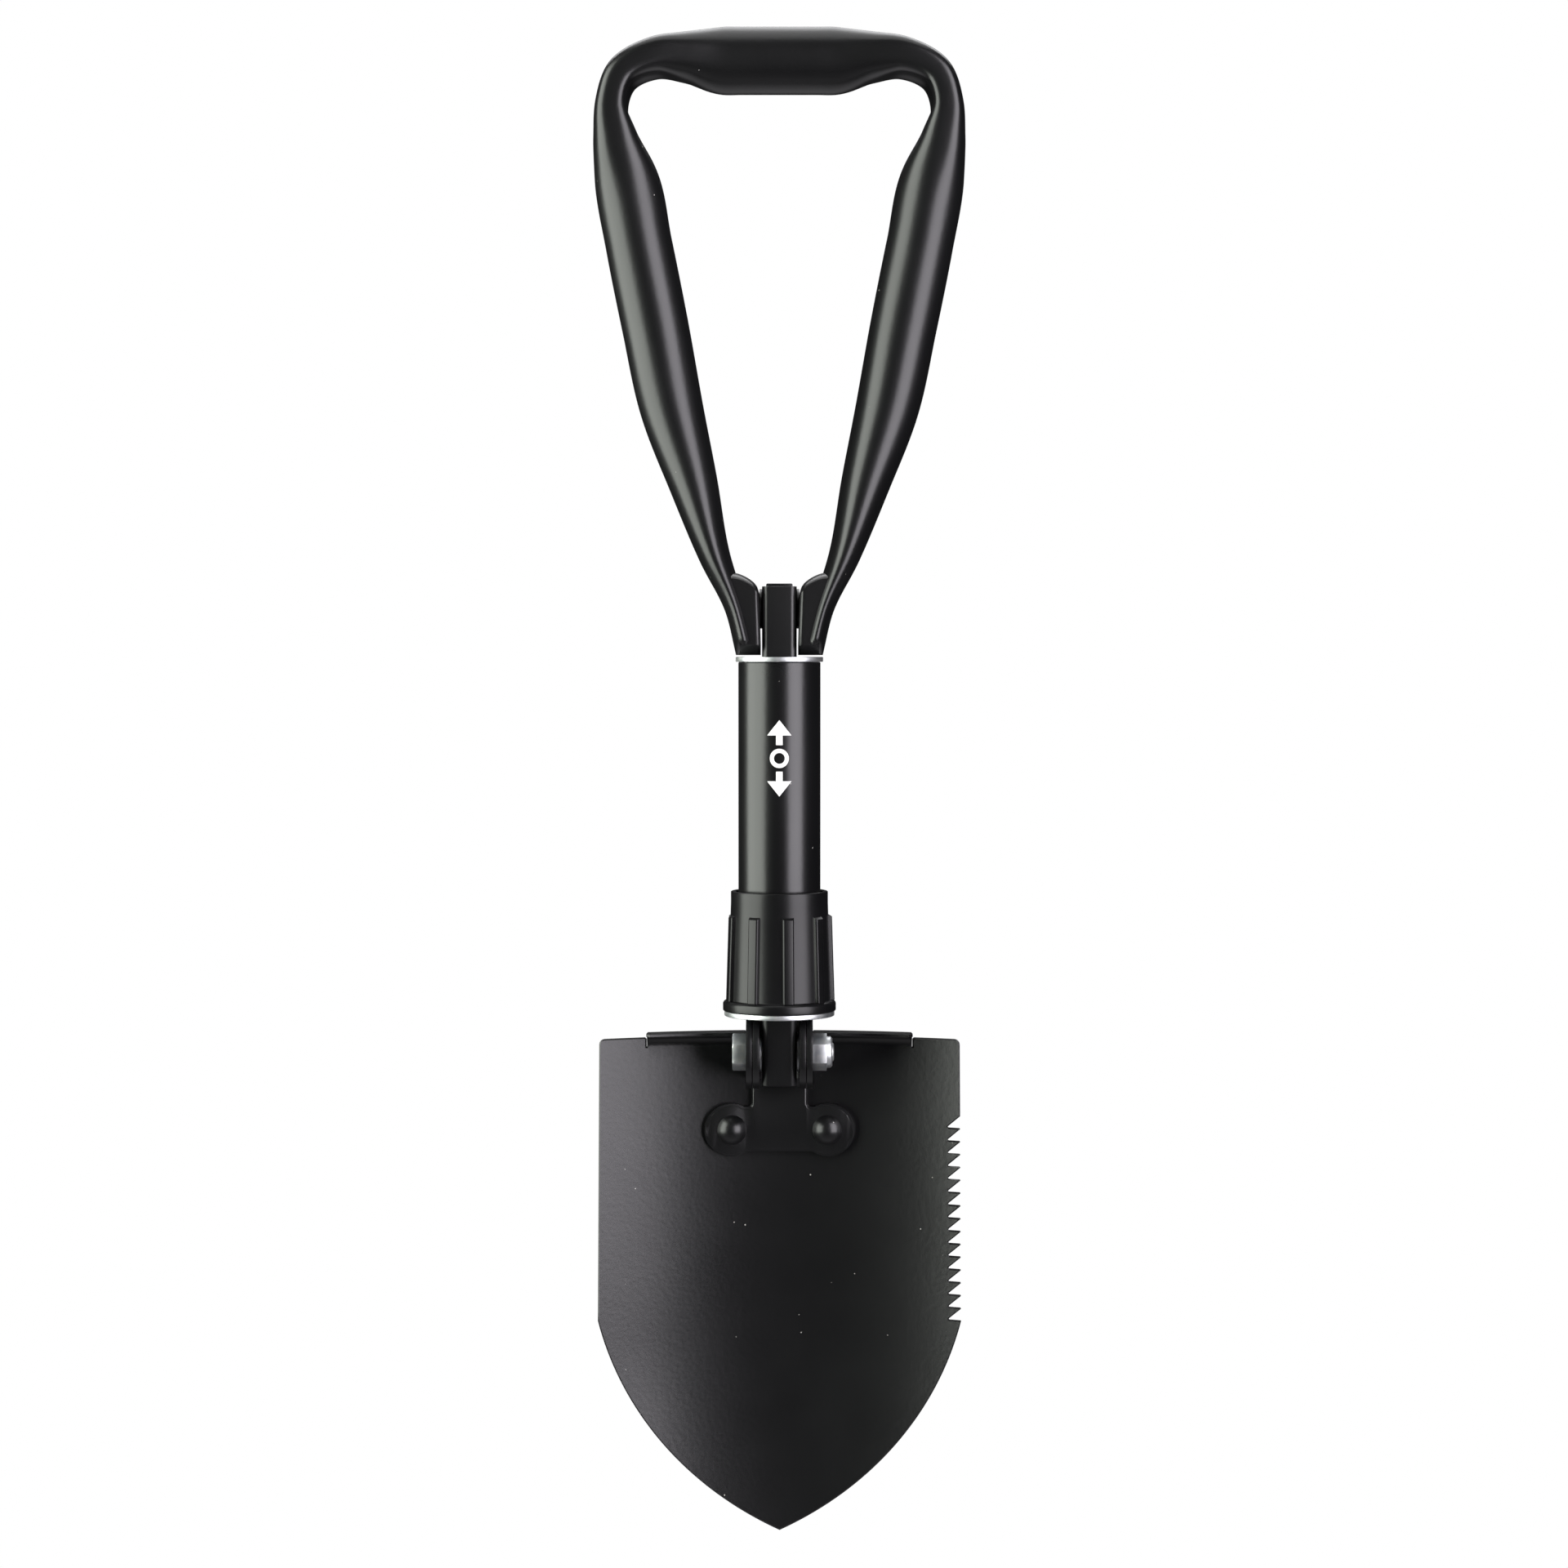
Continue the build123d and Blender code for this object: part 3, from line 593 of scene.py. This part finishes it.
def bladeOutline():  # front view, X and the drop from the top edge, lip laid flat
    lipTop = bendDrop - (bendLength + blade["lipDepth"] - blade["lipBend"])
    slope = (blade["shoulderHalf"] - blade["topHalf"]) / blade["shoulderDrop"]
    relief = blade["lipHalf"] + blade["relief"]
    upper = [(blade["notchHalf"], blade["notchDrop"]), (blade["notchHalf"], lipTop),
             (blade["lipHalf"] - blade["lipCornerIn"], lipTop),
             (blade["lipHalf"], lipTop + blade["lipCornerDown"]), (blade["lipHalf"], bendDrop),
             (relief, bendDrop), (relief, blade["reliefCorner"]), (relief + blade["reliefCorner"], 0)]
    for i in range(blade["cornerSteps"] + 1):  # rounded top corner
        a = pi / 2 * (1 - i / blade["cornerSteps"])
        upper.append((blade["topHalf"] - blade["corner"] * (1 - cos(a)), blade["corner"] * (1 - sin(a))))
    saw = []
    for i in range(blade["teeth"]):
        drop = blade["sawDrop"] + i * blade["pitch"]
        edgeX = blade["topHalf"] + slope * drop
        rootX, rootDrop = edgeX - blade["toothDepth"], drop + blade["pitch"] - blade["toothGap"]
        saw.append((edgeX, drop))
        saw += [(rootX + x, rootDrop + z) for x, z in blade["gullet"]]
        saw.append((edgeX - blade["tipBack"], rootDrop))
    half, below = blade["shoulderHalf"], blade["height"] - blade["shoulderDrop"]
    chord = hypot(half, below)
    back = sqrt(blade["pointRadius"] ** 2 - chord ** 2 / 4)
    centreX = half / 2 - back * below / chord
    centreDrop = blade["shoulderDrop"] + below / 2 - back * half / chord
    first = atan2(blade["shoulderDrop"] - centreDrop, half - centreX)
    last = atan2(blade["height"] - centreDrop, -centreX)
    arc = []
    for i in range(blade["pointSteps"] + 1):  # from the shoulder to the point
        a = first + (last - first) * i / blade["pointSteps"]
        arc.append((centreX + blade["pointRadius"] * cos(a), centreDrop + blade["pointRadius"] * sin(a)))
    right = upper + saw + arc
    left = [(-x, drop) for x, drop in reversed(upper + arc[:-1])]
    return right + left


def flatBlade():  # the outline as one face towards the front, its edge inset, cut into a grid
    bm = bmesh.new()
    bm.faces.new([bm.verts.new((x, 0, -drop)) for x, drop in bladeOutline()])
    bm.normal_update()
    if bm.faces[:][0].normal.y > 0:
        bmesh.ops.reverse_faces(bm, faces=bm.faces[:])
    bmesh.ops.inset_region(bm, faces=bm.faces[:], thickness=blade["edge"], use_even_offset=True,
                           use_boundary=True)
    columns = int(blade["shoulderHalf"] / blade["column"])
    rows = int((blade["height"] - bendDrop) / blade["row"])
    planes = [((i * blade["column"], 0, 0), (1, 0, 0)) for i in range(-columns, columns + 1)]
    planes += [((0, 0, -(bendDrop + blade["row"] * i)), (0, 0, 1)) for i in range(rows + 1)]
    for i in range(1, blade["bendSteps"] + 1):
        planes.append(((0, 0, -bendDrop + bendLength * i / blade["bendSteps"]), (0, 0, 1)))
    for point, normal in planes:
        bmesh.ops.bisect_plane(bm, geom=bm.verts[:] + bm.edges[:] + bm.faces[:], dist=0.0001,
                               plane_co=point, plane_no=normal)
    return bm


def makeBlade():
    topZ = pivotZ / mm + blade["abovePivot"]
    lipEdge = blade["lipHalf"] + blade["relief"] / 2
    bm = flatBlade()
    rim = bm.verts.layers.int.new("rim")
    for e in bm.edges:
        if e.is_boundary:
            for v in e.verts:
                v[rim] = 1
    front = set(bm.verts)
    bmesh.ops.extrude_face_region(bm, geom=bm.faces[:])
    for v in bm.verts:
        x, z = v.co.x, v.co.z
        depth = blade["edge"] * v[rim] if v in front else blade["sheet"] - blade["edge"] * v[rim]
        radius, turn = blade["dish"], 0.0
        up = z + bendDrop
        if up > 0 and abs(x) < lipEdge:  # the lip, turned over to the front
            turn = min(up, bendLength) / blade["lipBend"]
            radius -= blade["lipBend"] * (1 - cos(turn)) + max(up - bendLength, 0)
            z = -bendDrop + blade["lipBend"] * sin(turn)
        elif z < -blade["curlDrop"]:  # the point, curled to the front
            turn = -asin((-z - blade["curlDrop"]) / blade["curlRadius"])
            radius -= blade["curlRadius"] * (1 - cos(turn))
        radius += depth * cos(turn)
        v.co = Vector((x, dishAxisY + sqrt(radius ** 2 - x * x), z + depth * sin(turn) + topZ)) * mm
    bmesh.ops.recalc_face_normals(bm, faces=bm.faces[:])
    newPiece("blade_sheet", bm, "blade", ["blade"], bladeCoat, 32)


# Rivets with domed heads, square to the dished sheet

rivet = {"headRadius": 4.7, "headHeight": 3.0, "headRim": 0.2, "shank": 2.5, "tailRadius": 4.2,
         "tailHeight": 1.6, "tailRim": 0.7, "tailSink": 0.1, "span": 15.1, "drop": 27.0, "front": 2.0,
         "back": 1.8, "domeSteps": 14, "steps": 48}


def rivetProfile():  # radius and height, from the top of the head to the tail
    head, rim, tail = rivet["headRadius"], rivet["headRim"], rivet["tailRadius"]
    dome = (head ** 2 + rivet["headHeight"] ** 2) / (2 * rivet["headHeight"])
    reach = atan2(head, dome - rivet["headHeight"])
    sheets = rivet["front"] + blade["sheet"] + rivet["back"]
    profile = []
    for i in range(rivet["domeSteps"] + 1):
        a = reach * i / rivet["domeSteps"]
        profile.append((dome * sin(a), -dome * cos(a) + dome - rivet["headHeight"]))
    return profile + [(head - rim, rim), (rivet["shank"], rim), (rivet["shank"], sheets - rivet["tailSink"]),
                      (tail, sheets - rivet["tailSink"]), (tail, sheets + rivet["tailRim"]),
                      (tail - rivet["tailRim"], sheets + rivet["tailHeight"]),
                      (0, sheets + rivet["tailHeight"])]


def makeRivets():
    for side, name in ((-1, "left"), (1, "right")):
        bm = bmesh.new()
        wire = [bm.verts.new((r * mm, 0, z * mm)) for r, z in rivetProfile()]
        edges = [bm.edges.new(pair) for pair in zip(wire, wire[1:])]
        bmesh.ops.spin(bm, geom=wire + edges, cent=(0, 0, 0), axis=(0, 0, 1), angle=2 * pi,
                       steps=rivet["steps"], use_merge=True, use_duplicate=False)
        outwards(bm)
        turn = rivet["span"] / blade["dish"]
        spot = Matrix.Translation((0, dishAxisY * mm, pivotZ - rivet["drop"] * mm))
        spot @= Matrix.Rotation(-side * turn, 4, "Z") @ Matrix.Rotation(-pi / 2, 4, "X")
        spot @= Matrix.Translation((0, 0, (blade["dish"] - rivet["front"]) * mm))
        bmesh.ops.transform(bm, matrix=spot, verts=bm.verts[:])
        newPiece("rivet_" + name, bm, "blade", ["blade_rivet_" + name], bracketCoat, 40)


# What is left keeps its CAD shape, with its edges broken as a press, a mill or a coat leaves them

smallPieces = {  # body, slot, material and the width of its broken edges in mm
    "top_washer": ("sleeve", "zinc_steel", zinc, 0.22),
    "collar_washer": ("washer", "zinc_steel", zinc, 0.22),
    "inner_bar": ("core", "bar_paint", barCoat, 0.25),
    "handle_pin": ("core", "bar_paint", barCoat, 0.12),
    "handle_spacer_left": ("core", "bar_paint", barCoat, 0.1),
    "handle_spacer_right": ("core", "bar_paint", barCoat, 0.1),
    "front_bracket": ("blade", "bracket_paint", bracketCoat, 0.35),
    "rear_bracket": ("blade", "bracket_paint", bracketCoat, 0.35),
    "pivot_bolt": ("blade", "zinc_steel", zinc, 0.18),
    "pivot_nut": ("blade", "zinc_steel", zinc, 0.18),
    "nut_insert": ("blade", "nylon_ring", ringNylon, 0.1),
    "pivot_washer_left": ("blade", "zinc_steel", zinc, 0.1),
    "pivot_washer_right": ("blade", "zinc_steel", zinc, 0.1),
}


plate = {"lobe": 8.3, "span": 15.1, "lobeDrop": 27.0, "neckHalf": 8.6, "neckTop": 12.6, "shoulder": 19.8,
         "bottom": 33.8, "sheet": 2.0, "edge": 0.9, "edgeShare": 0.28, "proud": 0.1, "backSink": 0.1,
         "fillet": 1.3, "filletSteps": 4, "lobeSteps": 24, "column": 2.1}


def plateOutline():  # X and the drop from the pivot, from the neck round both lobes
    rise, fall = plate["lobeDrop"] - plate["shoulder"], plate["bottom"] - plate["lobeDrop"]
    lobeTop = atan2(rise, -sqrt(plate["lobe"] ** 2 - rise ** 2))
    lobeEnd = atan2(-fall, -sqrt(plate["lobe"] ** 2 - fall ** 2))
    half = [(plate["neckHalf"], plate["neckTop"])]
    for i in range(plate["filletSteps"] + 1):  # inside corner between the neck and the lobe
        a = pi / 2 * i / plate["filletSteps"]
        half.append((plate["neckHalf"] + plate["fillet"] * (1 - cos(a)),
                     plate["shoulder"] - plate["fillet"] * (1 - sin(a))))
    for i in range(plate["lobeSteps"] + 1):
        a = lobeTop + (lobeEnd - lobeTop) * i / plate["lobeSteps"]
        half.append((plate["span"] + plate["lobe"] * cos(a), plate["lobeDrop"] - plate["lobe"] * sin(a)))
    return half + [(-x, drop) for x, drop in reversed(half)]


def addPlate(bm):  # the bracket's face plate, bent to the dish, its edges rounded by the coat
    flat = bmesh.new()
    flat.faces.new([flat.verts.new((x, 0, -drop)) for x, drop in plateOutline()])
    flat.normal_update()
    if flat.faces[:][0].normal.y > 0:
        bmesh.ops.reverse_faces(flat, faces=flat.faces[:])
    for _ in range(2):  # two rings, for a rounded edge
        face = max(flat.faces, key=lambda f: f.calc_area())
        bmesh.ops.inset_region(flat, faces=[face], thickness=plate["edge"] / 2, use_even_offset=True,
                               use_boundary=True)
    columns = int((plate["span"] + plate["lobe"]) / plate["column"])
    for i in range(-columns, columns + 1):
        bmesh.ops.bisect_plane(flat, geom=flat.verts[:] + flat.edges[:] + flat.faces[:], dist=0.0001,
                               plane_co=(plate["column"] * i, 0, 0), plane_no=(1, 0, 0))
    rim = flat.verts.layers.float.new("rim")
    wall = [e.verts for e in flat.edges if e.is_boundary]
    outer = {v for pair in wall for v in pair}
    middle = {e.other_vert(v) for v in outer for e in v.link_edges} - outer
    for v in outer:
        v[rim] = plate["edge"]
    for v in middle:
        v[rim] = plate["edge"] * plate["edgeShare"]
    front = set(flat.verts)
    bmesh.ops.extrude_face_region(flat, geom=flat.faces[:])
    for v in flat.verts:
        depth = v[rim] - plate["proud"] if v in front else plate["sheet"] - plate["backSink"]
        radius = blade["dish"] - plate["sheet"] + depth
        v.co = Vector((v.co.x, dishAxisY + sqrt(radius ** 2 - v.co.x ** 2), v.co.z)) * mm
        v.co.z += pivotZ
    bmesh.ops.recalc_face_normals(flat, faces=flat.faces[:])
    mesh = bpy.data.meshes.new("plate")
    flat.to_mesh(mesh)
    flat.free()
    bm.from_mesh(mesh)


plug = {"width": 8.0 * mm, "depth": 12.4 * mm, "height": 3.9 * mm, "drop": 1.05 * mm, "round": 0.4 * mm}


def makeBarPlug():  # a pressed-in plug that closes the bar's top end
    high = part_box("inner_bar")[1]
    bm = bmesh.new()
    size = Matrix.Diagonal((plug["width"], plug["depth"], plug["height"], 1))
    bmesh.ops.create_cube(bm, size=1, matrix=Matrix.Translation((0, 0, high.z - plug["drop"])) @ size)
    roundEdges(bm, sharpEdges(bm, 60), plug["round"])
    newPiece("bar_plug", bm, "core", [], collarNylon)


def makeSmallPieces():
    for node, (body, slot, material, width) in smallPieces.items():
        bm = mergedCopy(node)
        roundEdges(bm, sharpEdges(bm, 50), width * mm)
        if node == "front_bracket":
            addPlate(bm)
        newPiece(node + "_finished", bm, body, [node], material, 32)


makeSleeve()
makeMark()
makeCollar()
print("sleeve and collar made")
makeHandle()
print("handle made")
makeBlade()
makeRivets()
print("blade made")
makeSmallPieces()
makeBarPlug()
print("fittings made")


# Studio: soft boxes left, right, behind and above, a pale floor and a white surround

studio = {"floorDrop": 0.2, "floorSize": 6.0, "surround": 0.02, "floorGlow": 1.1, "glowRadius": 1.3,
          "glowBehind": 0.5, "topBehind": 0.1, "topHeight": 1.3, "topSize": 1.0, "topPower": 5}


def cameraOnly(tree, shown, unseen):  # one look to the camera, another to the light
    ray = addNode(tree, "ShaderNodeLightPath")
    return addNode(tree, "ShaderNodeMixShader",
                   links={0: ray.outputs["Is Camera Ray"], 1: unseen.outputs[0], 2: shown.outputs[0]})


def makeWorld():
    world = bpy.data.worlds.new("surround")
    bpy.context.scene.world = world
    world.use_nodes = True
    tree = world.node_tree
    tree.nodes.clear()
    shown = addNode(tree, "ShaderNodeBackground", {"Color": (1, 1, 1, 1), "Strength": 1.0})
    unseen = addNode(tree, "ShaderNodeBackground",
                     {"Color": hexColour("dfe0e4"), "Strength": studio["surround"]})
    both = cameraOnly(tree, shown, unseen)
    addNode(tree, "ShaderNodeOutputWorld", links={"Surface": both.outputs[0]})


def makeFloor():  # white to the camera, and to the object a glow that fades with distance
    bm = bmesh.new()
    bmesh.ops.create_grid(bm, x_segments=1, y_segments=1, size=studio["floorSize"] / 2)
    low = Vector(cadBounds[0])
    bmesh.ops.translate(bm, verts=bm.verts[:], vec=(0, 0, low.z - studio["floorDrop"]))
    mesh = bpy.data.meshes.new("floor")
    bm.to_mesh(mesh)
    bm.free()
    floor = bpy.data.objects.new("floor", mesh)
    bpy.context.scene.collection.objects.link(floor)
    material, tree = newMaterial("pale seamless paper")
    shown = addNode(tree, "ShaderNodeEmission", {"Color": (1, 1, 1, 1), "Strength": 1.0})
    place = addNode(tree, "ShaderNodeTexCoord").outputs["Object"]
    shift = addNode(tree, "ShaderNodeVectorMath",
                    {"operation": "SUBTRACT", 1: (0, studio["glowBehind"], 0)}, {0: place})
    away = addNode(tree, "ShaderNodeVectorMath", {"operation": "LENGTH"}, {0: shift.outputs[0]})
    glow = addNode(tree, "ShaderNodeMapRange",
                   {"interpolation_type": "SMOOTHSTEP", "From Min": 0.0, "From Max": studio["glowRadius"],
                    "To Min": studio["floorGlow"], "To Max": 0.0}, {"Value": away.outputs["Value"]})
    unseen = addNode(tree, "ShaderNodeEmission", {"Color": hexColour("e6e4e8")},
                     {"Strength": glow.outputs[0]})
    finishMaterial(tree, cameraOnly(tree, shown, unseen))
    mesh.materials.append(material)


softBoxes = {
    # name: degrees right of the camera, distance, width, height, height of its middle, power, colour
    "left_box": (-71, 1.0, 1.15, 1.7, 0.1, 40, "f1f6ee"),
    "right_box": (46, 1.1, 0.85, 1.7, 0.1, 29, "f5f1f8"),
    "rear_box": (180, 1.0, 1.6, 0.9, 1.2, 14, "f4f4f6"),
}


def addLight(name, place):  # a soft box that lights the object and isn't seen
    light = bpy.data.lights.new(name, "AREA")
    box = bpy.data.objects.new(name, light)
    bpy.context.scene.collection.objects.link(box)
    box.location = place
    box.visible_camera = False
    return light, box


def makeLights():
    for name, (azimuth, distance, width, height, middle, power, colour) in softBoxes.items():
        a = radians(azimuth)
        light, box = addLight(name, (distance * sin(a), -distance * cos(a), middle))
        light.shape = "RECTANGLE"
        light.size = width
        light.size_y = height
        light.energy = power
        light.color = hexColour(colour)[:3]
        aim = Vector((0, 0, 0)) - box.location
        box.rotation_euler = aim.to_track_quat("-Z", "Y").to_euler()


def makeTopLight():
    light = addLight("top_box", (0, studio["topBehind"], studio["topHeight"]))[0]
    light.size = studio["topSize"]
    light.energy = studio["topPower"]


view = {"lens": 75.4, "sensor": 36, "place": (0.0014, -1.0, 0.0375), "aim": (0.0014, 0, -0.0023)}


def makeCamera():
    lens = bpy.data.cameras.new("camera")
    lens.lens = view["lens"]
    lens.sensor_width = view["sensor"]
    camera = bpy.data.objects.new("camera", lens)
    bpy.context.scene.collection.objects.link(camera)
    camera.location = view["place"]
    aim = Vector(view["aim"]) - camera.location
    camera.rotation_euler = aim.to_track_quat("-Z", "Y").to_euler()
    bpy.context.scene.camera = camera


makeWorld()
makeFloor()
makeLights()
makeTopLight()
makeCamera()
bpy.context.scene.view_settings.view_transform = "Standard"
print("studio made")
